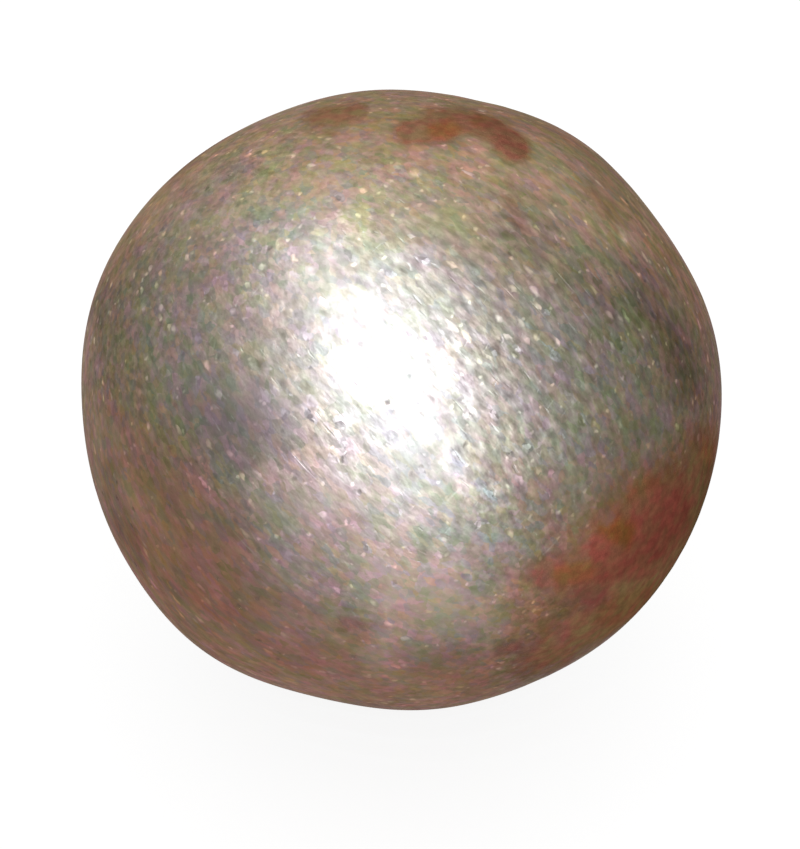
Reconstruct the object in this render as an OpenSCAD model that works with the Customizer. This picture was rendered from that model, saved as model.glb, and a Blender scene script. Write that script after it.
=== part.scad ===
// Solid steel ball, forged in one piece and a little out of round.
// Millimetres. +Z is up and the origin is the centre of the ball. Its
// long axis lies along X, level, as an out-of-round ball settles.

/* [Ball] */
// Mean diameter
ball_d = 25; // [10:0.5:100]
// Out of round: length along X less the diameter across X, as a percentage of the mean
out_of_round = 3.4; // [0.5:0.1:8]

/* [Hidden] */
$fn = 128;

// semi-axes: along X, and across it
half_diff = ball_d * out_of_round / 400;
semi_x = ball_d / 2 + half_diff;
semi_yz = ball_d / 2 - half_diff;

// Right half of an ellipse, standing on its long axis
module half_ellipse(across, along) {
    intersection() {
        scale([across, along]) circle(r = 1);
        translate([0, -along]) square([across, 2 * along]);
    }
}

// The ball: a half ellipse turned about its long axis, then laid along X
module ball() {
    color([0.53, 0.48, 0.42])
        rotate([0, 90, 0])
            rotate_extrude()
                half_ellipse(semi_yz, semi_x);
}

ball();
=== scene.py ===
"""Looks of the steel ball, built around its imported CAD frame. Metres, +Z up, origin at the ball's centre."""
import bpy
import math
import numpy as np
from mathutils import Matrix, Vector


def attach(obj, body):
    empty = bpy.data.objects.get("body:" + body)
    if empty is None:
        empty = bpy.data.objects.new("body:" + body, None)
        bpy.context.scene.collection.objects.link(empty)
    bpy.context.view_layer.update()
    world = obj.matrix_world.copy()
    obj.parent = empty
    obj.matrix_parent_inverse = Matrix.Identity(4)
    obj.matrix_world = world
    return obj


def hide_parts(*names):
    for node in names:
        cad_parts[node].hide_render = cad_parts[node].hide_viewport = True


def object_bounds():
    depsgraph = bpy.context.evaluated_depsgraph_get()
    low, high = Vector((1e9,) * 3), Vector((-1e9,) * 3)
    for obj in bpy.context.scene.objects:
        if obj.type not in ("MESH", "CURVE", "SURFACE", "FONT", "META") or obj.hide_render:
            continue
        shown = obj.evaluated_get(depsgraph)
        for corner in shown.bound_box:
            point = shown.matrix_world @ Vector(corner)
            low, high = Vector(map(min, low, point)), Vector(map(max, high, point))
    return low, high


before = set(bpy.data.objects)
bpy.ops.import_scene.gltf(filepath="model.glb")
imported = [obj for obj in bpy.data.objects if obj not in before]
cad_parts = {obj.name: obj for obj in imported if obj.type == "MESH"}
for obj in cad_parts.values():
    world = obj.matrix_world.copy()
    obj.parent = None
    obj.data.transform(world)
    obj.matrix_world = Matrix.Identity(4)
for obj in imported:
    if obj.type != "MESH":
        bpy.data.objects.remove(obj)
cad_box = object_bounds()

MM = 0.001
lo, hi = cad_box
A_MM = (hi.x - lo.x) / 2 / MM          # half length along X
B_MM = (hi.z - lo.z) / 2 / MM          # half height
FLOOR_Z = lo.z

# ---------------------------------------------------------------- camera
# The ball's outline is centred on pixel (399.6, 400) of the 800 x 849 frame, with a mean radius of 316.3 pixels.
FRAME_W, FRAME_H = 800, 849
BALL_X, BALL_Y, BALL_R = 399.6, 400.0, 316.3
AZIMUTH, ELEVATION = math.radians(8), math.radians(50)
DISTANCE = 0.30

back = np.array([math.sin(AZIMUTH) * math.cos(ELEVATION), -math.cos(AZIMUTH) * math.cos(ELEVATION), math.sin(ELEVATION)])
right = np.array([math.cos(AZIMUTH), math.sin(AZIMUTH), 0.0])
up = np.cross(back, right)


def unit(v):
    v = np.asarray(v, float)
    return v / np.linalg.norm(v)


def toward(azimuth, elevation):
    """Unit direction at this azimuth and elevation, in degrees."""
    a, e = math.radians(azimuth), math.radians(elevation)
    return np.array([math.sin(a) * math.cos(e), -math.cos(a) * math.cos(e), math.sin(e)])


def on_ball(x, y):
    """Unit direction, from the ball's centre, of the spot that shows at pixel (x, y) of the frame."""
    s, t = (x - BALL_X) / BALL_R, (y - BALL_Y) / BALL_R
    return unit(s * right - t * up + math.sqrt(max(0.0, 1 - s * s - t * t)) * back)


def aimed(look, top):
    """Rotation that turns an object's -Z to look and its Y to top."""
    z = -unit(look)
    x = unit(np.cross(top, z))
    y = np.cross(z, x)
    return Matrix(((x[0], y[0], z[0], 0), (x[1], y[1], z[1], 0), (x[2], y[2], z[2], 0), (0, 0, 0, 1)))


def add(name, data):
    o = bpy.data.objects.new(name, data)
    bpy.context.scene.collection.objects.link(o)
    return o


def make_camera():
    data = bpy.data.cameras.new("camera")
    data.sensor_width = 36.0               # the frame's long side
    data.clip_start, data.clip_end = 0.01, 10.0
    half = math.asin((A_MM + B_MM) / 2 * MM / DISTANCE)
    data.lens = BALL_R / FRAME_H * data.sensor_width / math.tan(half)
    pixel = data.sensor_width / data.lens / FRAME_H
    # aimed a little below the ball, which sits above the middle of the frame
    look = -back + right * (FRAME_W / 2 - BALL_X) * pixel - up * (FRAME_H / 2 - BALL_Y) * pixel
    o = add("camera", data)
    o.matrix_world = Matrix.Translation(Vector(back * DISTANCE)) @ aimed(look, up)
    bpy.context.scene.camera = o


make_camera()


# ---------------------------------------------------------------- smooth noise in numpy, seeded
def lattice_noise(p, seed):
    """Gradient noise of points p (n, 3), about -1 to 1, one feature per unit."""
    rng = np.random.RandomState(seed)
    table = rng.permutation(256)
    grads = rng.normal(size=(256, 3))
    grads /= np.linalg.norm(grads, axis=1, keepdims=True)
    cell = np.floor(p).astype(int)
    f = p - cell
    w = f * f * f * (f * (f * 6 - 15) + 10)
    total = np.zeros(len(p))
    for i in (0, 1):
        for j in (0, 1):
            for k in (0, 1):
                h = table[(table[(table[(cell[:, 0] + i) % 256] + cell[:, 1] + j) % 256] + cell[:, 2] + k) % 256]
                d = f - np.array([i, j, k])
                ww = (w[:, 0] if i else 1 - w[:, 0]) * (w[:, 1] if j else 1 - w[:, 1]) * (w[:, 2] if k else 1 - w[:, 2])
                total += ww * (grads[h] * d).sum(1)
    return total * 1.6


def rough_noise(p, seed, octaves=3, gain=0.5):
    total, amp, norm = np.zeros(len(p)), 1.0, 0.0
    for i in range(octaves):
        total += amp * lattice_noise(p * 2 ** i + 17.3 * i, seed + i)
        norm += amp
        amp *= gain
    return total / norm


def smooth(x, a, b):
    t = np.clip((x - a) / (b - a), 0, 1)
    return t * t * (3 - 2 * t)


# ---------------------------------------------------------------- the ball's surface
SIDE = 128                                  # 6 x 128 x 128 quads, 196,608 triangles
RADIUS_MM = 12.5


def cube_sphere(n):
    """Unit directions and quads of a cube blown up to a sphere, with its edges shared."""
    a = np.tan(np.linspace(-1, 1, n + 1) * math.pi / 4)
    u, v = np.meshgrid(a, a, indexing="ij")
    one = np.ones_like(u)
    sides = [(one, u, v), (-one, -u, v), (-u, one, v), (u, -one, v), (-v, u, one), (v, u, -one)]
    pts = np.concatenate([np.stack(s, -1).reshape(-1, 3) for s in sides])
    idx = np.arange((n + 1) ** 2).reshape(n + 1, n + 1)
    q = np.stack([idx[:-1, :-1], idx[1:, :-1], idx[1:, 1:], idx[:-1, 1:]], -1).reshape(-1, 4)
    quads = np.concatenate([q + k * (n + 1) ** 2 for k in range(6)])
    key = np.round(pts * 1e6).astype(np.int64)
    _, first, inverse = np.unique(key, axis=0, return_index=True, return_inverse=True)
    pts, quads = pts[first], inverse.reshape(-1)[quads]
    pts /= np.linalg.norm(pts, axis=1, keepdims=True)
    return pts, quads


pts, quads = cube_sphere(SIDE)


def seen(depth):
    """The surface's points as the camera sees them, in pixels: right, down, and towards the camera times depth."""
    return np.stack([pts @ right, -(pts @ up), pts @ back * depth], 1) * BALL_R


# patches have wandering outlines, so the places they are laid on are shifted a little, in pixels
DRIFT = np.stack([rough_noise(pts * RADIUS_MM / 2.0, seed, 3, 0.55) for seed in (61, 71, 81)], 1) * 11
FRONT = seen(0.3) + DRIFT


def reach(spots, space):
    """How far each point lies outside a chain of round spots (place, radius), in pixels."""
    best = np.full(len(space), 1e9)
    pairs = list(zip(spots[:-1], spots[1:])) or [(spots[0], spots[0])]
    for (a, ra), (b, rb) in pairs:
        ab = b - a
        size = max(float(ab @ ab), 1e-9)
        u = np.clip((space - a) @ ab / size, 0, 1)
        d = np.linalg.norm(space - a - u[:, None] * ab, axis=1) - (ra + u * (rb - ra))
        best = np.minimum(best, d)
    return best


def front_patch(soft, *spots):
    """A soft-edged patch on the side that the camera sees, brushed through (x, y, radius) in pixels."""
    chain = []
    for x, y, r in spots:
        n = on_ball(x, y)
        chain.append((np.array([n @ right, -(n @ up), n @ back * 0.3]) * BALL_R, r))
    return 1 - smooth(reach(chain, FRONT), -soft / 2, soft / 2)


def far_patch(soft, *spots):
    """The same anywhere on the ball, brushed through (azimuth, elevation, radius) in degrees and pixels."""
    chain = []
    for az, el, r in spots:
        a, e = math.radians(az), math.radians(el)
        chain.append((np.array([math.sin(a) * math.cos(e), -math.cos(a) * math.cos(e), math.sin(e)]) * BALL_R, r))
    return 1 - smooth(reach(chain, pts * BALL_R + DRIFT), -soft / 2, soft / 2)


# Broad fields laid one over another: colour (linear), strength, patch. Most are the old surface's film and stains; some
# are painted light or shade, as said at each.
GREY = (0.127, 0.105, 0.086)
FIELDS = [
    # less red and a little bluer round the lamps' highlight: a painted highlight tint
    ((0.121, 0.103, 0.0885), 0.90, front_patch(60, (372, 338, 66), (406, 412, 66))),
    # tan film over the top, ochre at its crest
    ((0.171, 0.131, 0.083), 0.90, front_patch(75, (120, 250, 40), (240, 160, 50), (380, 130, 62), (500, 150, 62), (620, 215, 50), (690, 290, 30))),
    ((0.160, 0.112, 0.073), 0.55, front_patch(50, (330, 140, 30), (450, 160, 34), (500, 200, 30))),
    ((0.137, 0.108, 0.064), 0.60, front_patch(44, (345, 215, 22), (440, 222, 24), (520, 258, 28), (590, 268, 24))),
    # a darker mauve patch at the upper left: partly stain, partly painted shade where the rear lamp's highlight falls
    ((0.083, 0.067, 0.067), 0.70, front_patch(44, (158, 262, 16), (192, 214, 20), (242, 168, 18))),
    ((0.100, 0.072, 0.046), 0.50, front_patch(28, (516, 218, 11), (530, 244, 13))),
    # pale rubbed streak at the upper right
    ((0.196, 0.148, 0.102), 0.85, front_patch(38, (535, 150, 22), (572, 182, 30), (640, 228, 26))),
    ((0.126, 0.097, 0.048), 0.65, front_patch(26, (588, 196, 14), (610, 214, 14))),
    # greenish greys at the right and the upper left; the darker greys at the right are partly film and partly painted
    # shade of the darker right side
    ((0.106, 0.092, 0.065), 0.70, front_patch(50, (610, 330, 36), (655, 372, 38), (620, 425, 36))),
    ((0.122, 0.108, 0.073), 0.55, front_patch(45, (118, 320, 20), (160, 300, 28), (196, 245, 30))),
    ((0.096, 0.067, 0.056), 0.65, front_patch(34, (634, 284, 16), (658, 318, 19), (674, 350, 16), (674, 392, 18))),
    ((0.077, 0.072, 0.055), 0.50, front_patch(50, (455, 510, 30), (530, 505, 36))),
    ((0.132, 0.095, 0.075), 0.50, front_patch(40, (212, 262, 24), (252, 330, 22), (250, 372, 16))),
    # brown film, lower left and along the bottom; the lighter band along the bottom edge is partly film and partly
    # painted light where the lower rim is lit
    ((0.196, 0.116, 0.079), 0.85, front_patch(80, (112, 440, 34), (160, 520, 52), (215, 590, 52), (300, 650, 46), (400, 680, 36), (480, 680, 34))),
    ((0.109, 0.052, 0.036), 0.50, front_patch(60, (168, 448, 28), (208, 520, 36), (252, 590, 30))),
    ((0.230, 0.152, 0.113), 0.80, front_patch(34, (118, 540, 14), (190, 628, 22), (300, 688, 22), (440, 697, 16))),
    ((0.200, 0.140, 0.119), 0.65, front_patch(70, (300, 470, 44), (345, 545, 44), (300, 600, 40))),
    # dark stain left of the middle
    ((0.065, 0.050, 0.049), 0.62, front_patch(70, (212, 402, 15), (252, 422, 30), (284, 434, 21))),
    # pale and smooth low in the middle: the paleness is a painted reflection of light below the highlight
    ((0.235, 0.171, 0.136), 0.85, front_patch(60, (378, 572, 20), (432, 600, 44), (486, 612, 24))),
    ((0.296, 0.206, 0.181), 0.60, front_patch(46, (388, 600, 14), (384, 655, 18))),
    # dull band above the rust, and the brown stain round it
    ((0.120, 0.078, 0.058), 0.50, front_patch(60, (505, 480, 36), (570, 500, 38), (620, 455, 30))),
    ((0.167, 0.096, 0.055), 0.88, front_patch(64, (542, 602, 48), (596, 572, 64), (650, 520, 54), (696, 458, 32))),
    ((0.100, 0.072, 0.034), 0.60, front_patch(26, (602, 496, 9), (640, 484, 11))),
    ((0.162, 0.107, 0.068), 0.70, front_patch(30, (322, 112, 14), (352, 112, 16), (410, 132, 24), (450, 124, 22), (500, 130, 22), (518, 152, 16))),
    # a lighter band down the left edge: partly film, partly painted light along the edge
    ((0.234, 0.189, 0.146), 0.75, front_patch(44, (92, 340, 14), (96, 420, 20), (118, 500, 24))),
    # darker arc along the right shoulder, partly painted shade of the darker right side, and smaller shades
    ((0.067, 0.060, 0.035), 0.50, front_patch(28, (500, 244, 10), (560, 276, 12), (616, 306, 14), (652, 340, 14), (678, 394, 12))),
    ((0.136, 0.111, 0.059), 0.50, front_patch(44, (128, 350, 18), (150, 400, 26), (165, 440, 20))),
    ((0.122, 0.072, 0.043), 0.45, front_patch(40, (268, 596, 18), (310, 612, 16))),
    ((0.073, 0.058, 0.047), 0.50, front_patch(36, (212, 436, 16), (252, 456, 18))),
    ((0.135, 0.100, 0.072), 0.45, front_patch(34, (292, 140, 14), (328, 142, 14))),
    ((0.124, 0.089, 0.061), 0.45, front_patch(30, (112, 470, 14), (122, 520, 14))),
    # this line and the next: darker along the lower edge of the lamps' highlight, painted shade that trims the
    # highlight
    ((0.082, 0.073, 0.065), 0.65, front_patch(24, (403, 508, 8), (404, 488, 8), (436, 477, 7), (462, 466, 9), (456, 446, 7))),
    ((0.062, 0.060, 0.064), 0.55, front_patch(20, (456, 448, 8), (463, 466, 8), (496, 494, 7))),
    ((0.097, 0.074, 0.070), 0.55, front_patch(22, (304, 336, 8), (308, 346, 8))),
    ((0.198, 0.168, 0.135), 0.55, front_patch(34, (320, 494, 12), (346, 474, 12))),
    # this line: a pale dash at the upper left edge of the lamps' highlight, a painted highlight
    ((0.165, 0.140, 0.124), 0.60, front_patch(22, (288, 290, 7), (300, 292, 7))),
    ((0.092, 0.077, 0.060), 0.50, front_patch(24, (300, 256, 9), (308, 262, 7))),
    ((0.087, 0.077, 0.060), 0.50, front_patch(20, (468, 396, 7), (472, 406, 7))),
    ((0.130, 0.090, 0.077), 0.55, front_patch(26, (296, 166, 14), (328, 150, 8))),
    ((0.152, 0.108, 0.105), 0.50, front_patch(26, (294, 408, 9), (298, 428, 9))),
    # the far side: more tan and brown film, grey rubbed places and a dark stain
    ((0.150, 0.110, 0.068), 0.80, far_patch(110, (150, 45, 70), (200, 30, 90), (245, 20, 60))),
    ((0.142, 0.088, 0.060), 0.80, far_patch(90, (120, -35, 60), (165, -30, 80), (215, -38, 60), (265, -30, 50))),
    ((0.175, 0.140, 0.105), 0.60, far_patch(50, (186, 4, 26), (200, 0, 34))),
    ((0.060, 0.046, 0.044), 0.65, far_patch(50, (238, -6, 26), (250, -12, 30))),
    ((0.120, 0.094, 0.086), 0.55, far_patch(70, (95, 5, 40), (110, -10, 50))),
    ((0.098, 0.100, 0.066), 0.60, far_patch(60, (130, 18, 34), (146, 8, 30))),
    ((0.150, 0.085, 0.055), 0.75, far_patch(60, (160, 30, 22), (172, 24, 34), (182, 14, 20))),
    ((0.122, 0.080, 0.048), 0.60, far_patch(56, (223, 28, 26), (242, 34, 32))),
    ((0.118, 0.076, 0.047), 0.60, far_patch(64, (113, -28, 36), (128, -34, 48), (147, -28, 32))),
    ((0.122, 0.084, 0.053), 0.50, far_patch(48, (262, 13, 26), (269, 5, 24))),
    ((0.130, 0.082, 0.058), 0.80, far_patch(80, (0, -60, 90), (60, -75, 60))),
]

# Rust: how much of the surface it covers (0 only tints what is there), its colour (linear), patch.
RUST = [
    # the streak at the crest: brown, orange in its middle, dark red at its tail
    (1.60, (0.057, 0.0259, 0.0146), front_patch(28, (414, 131, 15), (436, 126, 18), (456, 121, 17), (474, 121, 16), (490, 127, 15), (503, 139, 14), (515, 149, 12))),
    (0.00, (0.065, 0.0215, 0.0086), front_patch(22, (436, 130, 9), (450, 128, 9))),
    (0.00, (0.056, 0.0224, 0.0101), front_patch(20, (482, 120, 9), (492, 126, 7))),
    (0.00, (0.054, 0.0195, 0.0115), front_patch(24, (492, 126, 8), (504, 138, 9), (518, 148, 9))),
    (1.20, (0.059, 0.0312, 0.0158), front_patch(32, (312, 120, 8), (334, 118, 14), (354, 112, 11))),
    # the big patch at the lower right, which runs out over the edge
    (1.30, (0.060, 0.0210, 0.0125), front_patch(96, (700, 452, 12), (686, 486, 30), (654, 512, 40), (624, 546, 40), (600, 570, 32), (564, 572, 18))),
    (1.25, (0.081, 0.0402, 0.0204), front_patch(80, (690, 520, 36), (646, 580, 36), (606, 612, 28), (572, 632, 22), (540, 654, 18))),
    (0.90, (0.065, 0.0213, 0.0157), front_patch(34, (534, 572, 14), (552, 566, 14))),
    (0.00, (0.070, 0.0195, 0.0124), front_patch(46, (590, 556, 20), (640, 540, 28), (664, 508, 22))),
    (0.00, (0.066, 0.0246, 0.0097), front_patch(26, (562, 570, 9), (580, 566, 9))),
    (0.00, (0.057, 0.0196, 0.0057), front_patch(28, (604, 520, 10), (618, 532, 10))),
    (0.00, (0.063, 0.0195, 0.0145), front_patch(26, (572, 596, 9), (596, 592, 9))),
    (0.00, (0.075, 0.0335, 0.0153), front_patch(30, (612, 606, 16), (640, 590, 12))),
    (0.00, (0.092, 0.0320, 0.0235), front_patch(24, (554, 622, 8), (558, 634, 8))),
    (0.00, (0.056, 0.0217, 0.0101), front_patch(26, (604, 502, 7), (632, 485, 8), (658, 468, 8))),
    (0.00, (0.072, 0.0390, 0.0190), front_patch(34, (702, 520, 12), (700, 480, 14), (690, 466, 12))),
    (0.00, (0.098, 0.0440, 0.0200), front_patch(26, (707, 418, 10), (703, 446, 12))),
    (0.85, (0.069, 0.0253, 0.0183), front_patch(24, (504, 646, 7), (526, 646, 9))),
    (0.85, (0.076, 0.0321, 0.0189), front_patch(22, (528, 666, 9), (540, 664, 7))),
    # small spots
    (0.50, (0.090, 0.0260, 0.0140), front_patch(20, (340, 622, 8), (368, 626, 8))),
    (0.45, (0.070, 0.0300, 0.0150), front_patch(26, (507, 194, 7), (515, 226, 8))),
    # the far side
    (1.05, (0.054, 0.0240, 0.0130), far_patch(70, (161, 31, 14), (172, 25, 28), (181, 15, 15))),
    (0.00, (0.068, 0.0240, 0.0100), far_patch(26, (170, 26, 9), (176, 22, 9))),
    (0.85, (0.054, 0.0230, 0.0130), far_patch(56, (226, 29, 12), (234, 33, 20), (241, 32, 12))),
    (1.00, (0.060, 0.0230, 0.0130), far_patch(76, (116, -29, 20), (128, -34, 30), (144, -29, 16))),
    (0.00, (0.050, 0.0250, 0.0100), far_patch(40, (120, -30, 14), (138, -36, 12))),
    (0.75, (0.060, 0.0260, 0.0150), far_patch(46, (262, 13, 13), (268, 6, 13))),
]

# Where the skin lies smooth under its film, and grain and scratches fade.
CALM = [
    (0.70, front_patch(90, (378, 572, 20), (432, 600, 44), (486, 618, 22))),
    (0.62, front_patch(90, (112, 460, 40), (200, 580, 60), (320, 660, 50), (460, 670, 40))),
    (0.16, front_patch(70, (560, 190, 40), (640, 250, 36))),
    (0.35, front_patch(60, (205, 402, 28), (245, 418, 36), (278, 402, 22))),
    (0.35, front_patch(60, (330, 130, 34), (470, 140, 40), (580, 180, 50))),
    (0.30, front_patch(80, (330, 200, 40), (440, 220, 36))),
    (0.35, front_patch(90, (350, 520, 40), (440, 530, 44), (500, 560, 40))),
    (0.35, front_patch(80, (560, 480, 36), (600, 500, 50), (640, 440, 40))),
    (0.40, far_patch(110, (150, 45, 70), (200, 30, 90), (245, 20, 60))),
    (0.60, far_patch(50, (186, 4, 26), (200, 0, 34))),
]

tint = np.tile(np.array(GREY), (len(pts), 1))
for colour, strength, patch in FIELDS:
    w = (strength * patch)[:, None]
    tint = tint * (1 - w) + np.array(colour) * w
rust, rust_tint = np.zeros(len(pts)), np.tile((0.075, 0.028, 0.012), (len(pts), 1))
for cover, colour, patch in RUST:
    rust_tint += (np.array(colour) - rust_tint) * smooth(patch, 0.0, 0.7)[:, None]
    rust = np.maximum(rust, cover * patch)
# the big patch thins out raggedly round the edge, to the right of what the camera sees
away = toward(112, -18)
rust *= 1 - smooth(pts @ away + 0.30 * rough_noise(pts * RADIUS_MM / 3.4, 91, 3, 0.6), 0.70, 0.93) * smooth(-(pts @ back), -0.02, 0.18)
keen = np.ones(len(pts))
for amount, patch in CALM:
    keen = np.minimum(keen, 1 - amount * patch)
keen *= 0.91 + 0.11 * front_patch(110, (500, 370, 56), (600, 360, 60))

# The film's hues are fainter round where the lamps' highlight falls, a painted highlight that stands in for the hues
# washing out there, and stronger towards the edge.
tinge = 0.45 + 0.55 * smooth(np.linalg.norm(pts - on_ball(389, 374), axis=1) * BALL_R, 60, 240)

# ---- form, in mm
base_r = 1 / np.sqrt((pts[:, 0] / A_MM) ** 2 + (pts[:, 1] / B_MM) ** 2 + (pts[:, 2] / B_MM) ** 2)

# The forging's low lumps: waves round the outline, height in mm, where the crest lies in degrees clockwise from the right.
LUMPS = [
    (3, 0.026, 0),
    (4, 0.068, 36),
    (5, 0.051, -7),
    (6, 0.025, 12),
    (7, 0.028, -10),
    (8, 0.039, -9),
    (10, 0.022, 16),
]
s, t = pts @ right, -(pts @ up)
rim, turn = np.hypot(s, t), np.arctan2(t, s)
height = np.zeros(len(pts))
for waves, tall, crest in LUMPS:
    height += tall * rim ** waves * np.cos(waves * (turn - math.radians(crest)))

# Waves of the hammered skin, 2 to 4 mm long and a hundredth of a millimetre high.
height += 0.008 * rough_noise(pts * RADIUS_MM / 3.2, 11, 2, 0.45)
height += 0.0022 * lattice_noise(pts * RADIUS_MM / 1.1, 23) * keen


def dent(centre, radius, depth, lip=0.2):
    """A shallow dent in mm with a faint raised lip."""
    d = np.linalg.norm(pts - centre, axis=1) * RADIUS_MM / radius
    near = d < 2
    out = np.zeros(len(pts))
    e = d[near]
    out[near] = -depth * np.where(e < 1, (1 - e * e) ** 2, 0) + lip * depth * np.exp(-((e - 1.1) / 0.25) ** 2)
    return out


# Small dents everywhere, and the pits and nicks that show best.
rng = np.random.RandomState(5)
for _ in range(150):
    c = unit(rng.normal(size=3))
    r = 0.28 + 0.75 * rng.rand() ** 2.2
    height += dent(c, r, (0.006 + 0.013 * rng.rand()) * r ** 0.8)
for x, y, r, deep in [(260, 365, 0.34, 0.030), (283, 386, 0.30, 0.026), (325, 410, 0.28, 0.022), (543, 232, 0.34, 0.028), (413, 178, 0.30, 0.030), (189, 226, 0.32, 0.028),
                      (151, 313, 0.30, 0.026), (349, 590, 0.30, 0.024), (628, 243, 0.28, 0.024), (465, 300, 0.26, 0.022), (612, 398, 0.34, 0.024), (500, 348, 0.30, 0.022)]:
    height += dent(on_ball(x, y), r, deep)

# Lighter flecks and darker nicks strewn over the whole ball, and a few single bright ones where glints catch the eye;
# the lighter flecks are partly bare flakes and partly painted glints.
rng = np.random.RandomState(29)
marks = [(unit(rng.normal(size=3)), 0.5 if i % 5 < 3 else -0.3) for i in range(90)]
marks += [(on_ball(x, y), 0.8) for x, y in [(415, 175), (545, 275), (575, 360), (620, 240), (350, 585), (150, 310), (640, 445)]]
marks += [(on_ball(x, y), -0.4) for x, y in [(265, 385), (225, 375), (545, 230)]]
flecks = np.zeros(len(pts))
for spot, much in marks:
    d = np.linalg.norm(pts - spot, axis=1) * RADIUS_MM
    flecks += much * np.exp(-(d / 0.19) ** 2)

# Rust stands a little proud, crusty, with a ragged edge.
ragged = rough_noise(pts * RADIUS_MM / 0.9, 41, 3, 0.6)
crust = smooth(rust + 0.30 * ragged, 0.20, 1.00)
height += crust * (0.003 + 0.010 * rough_noise(pts * RADIUS_MM / 0.55, 53, 2, 0.6))

place = pts * (base_r + height)[:, None] * MM
# It touches the floor at its lowest point and nowhere goes below it.
low = smooth(-pts[:, 2], 0.80, 1.0)
place[:, 2] += (FLOOR_Z - place[:, 2].min()) * low
place[:, 2] = np.maximum(place[:, 2], FLOOR_Z)

mesh = bpy.data.meshes.new("ball_surface")
mesh.vertices.add(len(place))
mesh.vertices.foreach_set("co", place.astype(np.float32).ravel())
mesh.loops.add(quads.size)
mesh.loops.foreach_set("vertex_index", quads.astype(np.int32).ravel())
mesh.polygons.add(len(quads))
mesh.polygons.foreach_set("loop_start", np.arange(0, quads.size, 4, dtype=np.int32))
mesh.polygons.foreach_set("use_smooth", np.ones(len(quads), bool))
mesh.update(calc_edges=True)
mesh.validate()


def stored(name, values):
    """Keeps values on the surface's points for the material to read."""
    kind = "FLOAT" if values.ndim == 1 else "FLOAT_COLOR"
    layer = mesh.attributes.new(name, kind, "POINT")
    layer.data.foreach_set("value" if values.ndim == 1 else "color", values.astype(np.float32).ravel())


# the film colour, with the painted highlight tint, painted shade and painted reflection laid in it
stored("film_and_painted_light", np.column_stack([tint, np.ones(len(pts))]))
stored("rust", rust)
stored("rust_tint", np.column_stack([rust_tint, np.ones(len(pts))]))
stored("keen", keen)
stored("fleck", flecks)
stored("tinge", tinge)
ball = add("ball_surface", mesh)


# ---------------------------------------------------------------- material
class Graph:
    """Shorthand for building a node tree. A value is a number, a tuple or a socket."""

    def __init__(self, tree):
        self.tree = tree

    def node(self, kind, **settings):
        n = self.tree.nodes.new(kind)
        for k, v in settings.items():
            setattr(n, k, v)
        return n

    def put(self, socket, value):
        if isinstance(value, bpy.types.NodeSocket):
            self.tree.links.new(value, socket)
        else:
            socket.default_value = value

    def math(self, op, a, b=0.0, c=0.0, clamp=False):
        n = self.node("ShaderNodeMath", operation=op, use_clamp=clamp)
        for i, v in enumerate((a, b, c)):
            self.put(n.inputs[i], v)
        return n.outputs[0]

    def vec(self, op, a, b=(0.0, 0.0, 0.0), scale=None):
        n = self.node("ShaderNodeVectorMath", operation=op)
        self.put(n.inputs[0], a)
        if scale is None:
            self.put(n.inputs[1], b)
        else:
            self.put(n.inputs["Scale"], scale)
        return n.outputs["Value" if op in ("DOT_PRODUCT", "LENGTH", "DISTANCE") else "Vector"]

    def span(self, value, a, b, lo=0.0, hi=1.0, kind="SMOOTHSTEP"):
        n = self.node("ShaderNodeMapRange", interpolation_type=kind)
        for i, v in enumerate((value, a, b, lo, hi)):
            self.put(n.inputs[i], v)
        return n.outputs[0]

    def noise(self, where, scale, detail=2.0, rough=0.5, warp=0.0):
        n = self.node("ShaderNodeTexNoise")
        for name, v in (("Vector", where), ("Scale", scale), ("Detail", detail), ("Roughness", rough), ("Distortion", warp)):
            self.put(n.inputs[name], v)
        return n.outputs["Fac"]

    def noise3(self, where, scale, detail=2.0):
        n = self.node("ShaderNodeTexNoise")
        for name, v in (("Vector", where), ("Scale", scale), ("Detail", detail)):
            self.put(n.inputs[name], v)
        return n.outputs["Color"]

    def cells(self, where, scale):
        n = self.node("ShaderNodeTexVoronoi")
        self.put(n.inputs["Vector"], where)
        self.put(n.inputs["Scale"], scale)
        return n

    def mix(self, amount, a, b, blend="MIX"):
        n = self.node("ShaderNodeMix", data_type="RGBA", blend_type=blend, clamp_factor=True)
        self.put(n.inputs[0], amount)
        self.put(n.inputs[6], a)
        self.put(n.inputs[7], b)
        return n.outputs[2]

    def kept(self, name):
        n = self.node("ShaderNodeAttribute", attribute_type="GEOMETRY", attribute_name=name)
        return n.outputs["Color"] if name in ("film_and_painted_light", "rust_tint") else n.outputs["Fac"]


def along(angle):
    """Direction in space that shows in the frame at this many degrees below the right."""
    a = math.radians(angle)
    return tuple(float(v) for v in right * math.cos(a) - up * math.sin(a))


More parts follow.
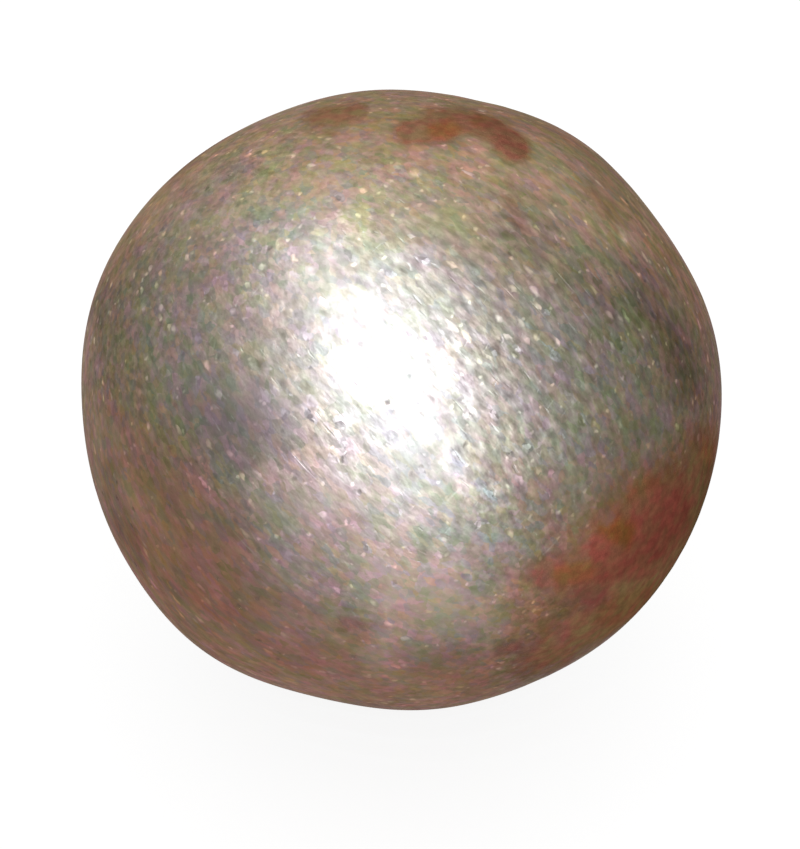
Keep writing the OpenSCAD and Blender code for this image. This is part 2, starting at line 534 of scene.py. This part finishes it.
def worn_steel():
    mat = bpy.data.materials.new("worn_steel")
    mat.use_nodes = True
    g = Graph(mat.node_tree)
    p = mat.node_tree.nodes["Principled BSDF"]
    mm = g.vec("SCALE", g.node("ShaderNodeTexCoord").outputs["Object"], scale=1000.0)

    def drawn_out(direction, amount, shift=0.0):
        """Coordinates in which a pattern comes out drawn along a direction, 1 / (1 - amount) times its width."""
        run = g.vec("SCALE", direction, scale=g.math("MULTIPLY", g.vec("DOT_PRODUCT", mm, direction), amount))
        out = g.vec("SUBTRACT", mm, run)
        return g.vec("ADD", out, (shift, shift * 0.7, -shift)) if shift else out

    main = drawn_out(along(48), 0.52)
    cross = drawn_out(along(-30), 0.12, 31.0)

    # rust fades out through a ragged edge
    ragged = g.math("MULTIPLY_ADD", g.noise(mm, 3.2, 2.0, 0.6), 0.34, g.math("MULTIPLY", g.noise(mm, 1.1, 4.0, 0.62), 0.66))
    rust = g.span(g.math("ADD", ragged, g.math("SUBTRACT", g.kept("rust"), 0.50)), 0.08, 0.84)
    thick = g.math("POWER", rust, 3.0)
    keen = g.math("MULTIPLY", g.kept("keen"), g.math("MULTIPLY_ADD", thick, -0.6, 1.0))

    # ---- grain: flow lines and small flakes, each tilted its own way
    jitter = g.vec("SCALE", g.vec("SUBTRACT", g.noise3(mm, 3.0, 1.0), (0.5, 0.5, 0.5)), scale=0.22)
    flow = g.noise3(main, 3.4, 2.0)
    facets = g.cells(g.vec("ADD", main, jitter), 3.8)
    chips = g.cells(g.vec("ADD", cross, jitter), 5.0)
    pick = g.node("ShaderNodeSeparateColor")
    g.put(pick.inputs[0], chips.outputs["Color"])
    lone = g.node("ShaderNodeSeparateColor")
    g.put(lone.inputs[0], facets.outputs["Color"])
    lie = g.node("ShaderNodeSeparateColor")
    g.put(lie.inputs[0], flow)
    steep = g.math("MULTIPLY_ADD", g.span(lone.outputs[2], 0.94, 0.96), 1.4, 0.20)
    tilt = g.vec("ADD", g.vec("SCALE", g.vec("SUBTRACT", flow, (0.5, 0.5, 0.5)), scale=2.3), g.vec("SCALE", g.vec("SUBTRACT", facets.outputs["Color"], (0.5, 0.5, 0.5)), scale=0.30))
    tilt = g.vec("ADD", tilt, g.vec("SCALE", g.vec("SUBTRACT", chips.outputs["Color"], (0.5, 0.5, 0.5)), scale=steep))
    facing = g.vec("NORMALIZE", g.vec("ADD", g.node("ShaderNodeNewGeometry").outputs["Normal"], g.vec("SCALE", tilt, scale=g.math("MULTIPLY", keen, 0.138))))

    # ---- height, mm
    grain = g.noise(main, 3.9, 2.0, 0.55)
    hair = drawn_out(along(47), 0.94, 12.0)
    hair2 = drawn_out(along(-50), 0.93, 57.0)
    scratch = g.span(g.noise(hair, 5.2, 1.0, 0.5), 0.68, 0.78)
    scratch2 = g.span(g.noise(hair2, 4.6, 1.0, 0.5), 0.70, 0.79)
    scratches = g.math("MULTIPLY_ADD", scratch2, 0.7, scratch)
    pit_cells = g.cells(g.vec("ADD", mm, jitter), 1.3)
    chosen = g.node("ShaderNodeSeparateColor")
    g.put(chosen.inputs[0], pit_cells.outputs["Color"])
    pit = g.math("MULTIPLY", g.span(pit_cells.outputs["Distance"], 0.05, 0.22, 1.0, 0.0), g.span(chosen.outputs[0], 0.78, 0.84))

    skin = g.math("MULTIPLY", grain, 0.018)
    skin = g.math("MULTIPLY_ADD", scratches, -0.005, skin)
    skin = g.math("MULTIPLY", skin, keen)
    skin = g.math("MULTIPLY_ADD", pit, -0.012, skin)
    crust = g.noise(mm, 4.5, 3.0, 0.7)
    relief = g.math("MULTIPLY_ADD", g.math("MULTIPLY", g.math("SUBTRACT", crust, 0.5), rust), 0.022, skin)
    bump = g.node("ShaderNodeBump")
    g.put(bump.inputs["Strength"], 1.0)
    g.put(bump.inputs["Distance"], 0.001)
    g.put(bump.inputs["Height"], relief)
    g.put(bump.inputs["Normal"], facing)
    g.put(p.inputs["Normal"], bump.outputs[0])

    # ---- colour
    # film colour, with painted light and shade laid in it
    film_and_painted_light = g.kept("film_and_painted_light")
    cloud = g.noise(main, 0.9, 3.0, 0.6)
    hue = g.noise(g.vec("ADD", main, (40.0, -12.0, 8.0)), 1.25, 3.0, 0.65)
    tinge = g.kept("tinge")
    drift = g.vec("SUBTRACT", g.mix(g.span(hue, 0.32, 0.68), (1.13, 0.97, 1.08, 1), (0.93, 1.04, 0.88, 1)), (1.0, 1.0, 1.0))
    colour = g.vec("MULTIPLY", film_and_painted_light, g.vec("ADD", g.vec("SCALE", drift, scale=g.math("MULTIPLY_ADD", tinge, 1.6, -0.3)), (1.0, 1.0, 1.0)))
    colour = g.mix(1.0, colour, g.mix(g.span(cloud, 0.30, 0.70), (0.88, 0.87, 0.86, 1), (1.12, 1.12, 1.12, 1)), "MULTIPLY")
    # each facet a shade of its own
    shade = g.vec("MULTIPLY", g.vec("SUBTRACT", facets.outputs["Color"], (0.5, 0.5, 0.5)), (0.23, 0.0, 0.33))
    colour = g.vec("MULTIPLY", colour, g.vec("ADD", g.vec("SCALE", shade, scale=tinge), (1.0, 1.0, 1.0)))
    # the grain is painted darker where its flow lines tilt to the right, a painted shade that deepens the grain's
    # shading on the right of the highlight
    speck = g.math("MULTIPLY", g.span(lie.outputs[0], 0.26, 0.74, 1.23, 0.82, "LINEAR"), g.span(grain, 0.28, 0.72, 0.86, 1.15, "LINEAR"))
    speck = g.math("MULTIPLY", speck, g.span(g.math("FRACT", g.math("MULTIPLY", pick.outputs[0], 7.3)), 0.0, 1.0, 0.93, 1.07, "LINEAR"))
    speck = g.math("MULTIPLY", speck, g.span(lone.outputs[0], 0.0, 1.0, 0.92, 1.08, "LINEAR"))
    # here and there a flake is painted bright, partly as bare metal and partly as a painted glint, or dull and dark
    blob = g.span(facets.outputs["Distance"], 0.20, 0.62, 1.0, 0.0)
    dot = g.span(chips.outputs["Distance"], 0.15, 0.60, 1.0, 0.0)
    bright = g.math("ADD", g.math("MULTIPLY", blob, g.span(g.math("FRACT", g.math("MULTIPLY", lone.outputs[1], 9.1)), 0.962, 0.970)), g.math("MULTIPLY", dot, g.span(g.math("FRACT", g.math("MULTIPLY", pick.outputs[2], 5.7)), 0.965, 0.975)))
    dark = g.math("ADD", g.math("MULTIPLY", blob, g.span(g.math("FRACT", g.math("MULTIPLY", lone.outputs[0], 13.7)), 0.972, 0.980)), g.math("MULTIPLY", dot, g.span(g.math("FRACT", g.math("MULTIPLY", pick.outputs[1], 11.3)), 0.970, 0.985)))
    speck = g.math("MULTIPLY", speck, g.math("ADD", g.math("MULTIPLY_ADD", dark, -0.24, bright), g.math("ADD", g.kept("fleck"), 1.0)))
    speck = g.math("ADD", 1.0, g.math("MULTIPLY", g.math("SUBTRACT", speck, 1.0), keen))
    colour = g.vec("SCALE", colour, scale=speck)
    colour = g.mix(g.math("MULTIPLY", pit, 0.45), colour, (0.040, 0.032, 0.024, 1))
    bare = g.math("MULTIPLY", g.math("MULTIPLY", scratches, keen), 0.20, clamp=True)
    colour = g.mix(bare, colour, (0.26, 0.245, 0.215, 1))
    # rust: each patch's own colour, mottled redder and more olive
    rust_tone = g.noise(g.vec("ADD", mm, (9.0, 2.0, -6.0)), 1.5, 2.0, 0.5)
    mottle = g.mix(g.span(rust_tone, 0.34, 0.66), (1.09, 0.86, 0.88, 1), (0.94, 1.12, 0.90, 1))
    rust_colour = g.mix(1.0, g.kept("rust_tint"), mottle, "MULTIPLY")
    rust_depth = g.noise(g.vec("ADD", mm, (-20.0, 5.0, 3.0)), 2.4, 3.0, 0.6)
    rust_colour = g.vec("SCALE", rust_colour, scale=g.math("MULTIPLY", g.span(rust_depth, 0.30, 0.70, 0.84, 1.16), g.span(pick.outputs[1], 0.0, 1.0, 0.93, 1.07, "LINEAR")))
    colour = g.mix(g.math("MULTIPLY", rust, 0.98), colour, rust_colour)
    g.put(p.inputs["Base Color"], colour)

    # ---- gloss
    polish = g.span(cloud, 0.30, 0.70, 0.55, 0.48)
    polish = g.math("ADD", polish, g.math("MULTIPLY", pit, 0.15))
    g.put(p.inputs["Roughness"], g.math("MULTIPLY_ADD", thick, g.math("SUBTRACT", 0.66, polish), polish))
    g.put(p.inputs["Metallic"], g.math("MULTIPLY_ADD", thick, -0.85, 1.0))
    p.inputs["Specular Tint"].default_value = (0.58, 0.44, 0.41, 1)
    p.inputs["Specular IOR Level"].default_value = 0.0
    return mat


mesh.materials.append(worn_steel())
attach(ball, "root")
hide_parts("ball")

# ---------------------------------------------------------------- floor
fm = bpy.data.meshes.new("floor")
fm.from_pydata([(-3, -3, FLOOR_Z), (3, -3, FLOOR_Z), (3, 3, FLOOR_Z), (-3, 3, FLOOR_Z)], [], [(0, 1, 2, 3)])
floor = add("floor", fm)
fmat = bpy.data.materials.new("floor")
fmat.use_nodes = True
fp = fmat.node_tree.nodes["Principled BSDF"]
fp.inputs["Base Color"].default_value = (0.14, 0.14, 0.14, 1)
fp.inputs["Roughness"].default_value = 0.9
fp.inputs["Specular IOR Level"].default_value = 0.1
fp.inputs["Emission Color"].default_value = (1, 1, 1, 1)
fp.inputs["Emission Strength"].default_value = 0.87
fm.materials.append(fmat)


# ---------------------------------------------------------------- light
def off_camera(rightwards, upwards):
    """Direction this many degrees to the right of the camera and above it."""
    a = math.radians(math.hypot(rightwards, upwards))
    e = right * rightwards + up * upwards
    return unit(back * math.cos(a) + unit(e) * math.sin(a))


def lamp(name, direction, watts, colour=(1, 1, 1)):
    """A small lamp 0.3 m off, hooded so that its light falls on the ball and not on the floor."""
    data = bpy.data.lights.new(name, "SPOT")
    data.energy = watts
    data.color = colour
    data.spot_size = 2 * math.asin(12.1 / 300)
    data.spot_blend = 0.3
    data.shadow_soft_size = 0.001
    o = add(name, data)
    o.matrix_world = Matrix.Translation(Vector(direction * 0.30)) @ aimed(-direction, up if abs(direction @ up) < 0.9 else right)


# A row of lamps beside the camera, long in one direction, as a flash in a strip box.
KEY = (0.845, 1.0, 1.16)
for i, (step, watts) in enumerate([(-42, 3.6), (-8, 4.6), (0, 5.6), (8, 4.7), (42, 5.1)]):
    lamp("key_%d" % (i + 1), off_camera(-4.5 + 0.39 * step, 10.5 - 0.92 * step), watts, KEY)
lamp("rear", toward(228, 8), 0.5)

# White all round, brighter from behind.
world = bpy.data.worlds.new("studio")
bpy.context.scene.world = world
world.use_nodes = True
w = Graph(world.node_tree)
sky = world.node_tree.nodes["Background"]
facing = w.vec("DOT_PRODUCT", w.node("ShaderNodeTexCoord").outputs["Generated"], tuple(toward(188, 35)))
w.put(sky.inputs["Strength"], w.math("MULTIPLY_ADD", w.math("POWER", w.math("MAXIMUM", facing, 0.0), 2.0), 1.05, 1.0))
sky.inputs["Color"].default_value = (1, 1, 1, 1)

scene = bpy.context.scene
scene.view_settings.view_transform = "Standard"
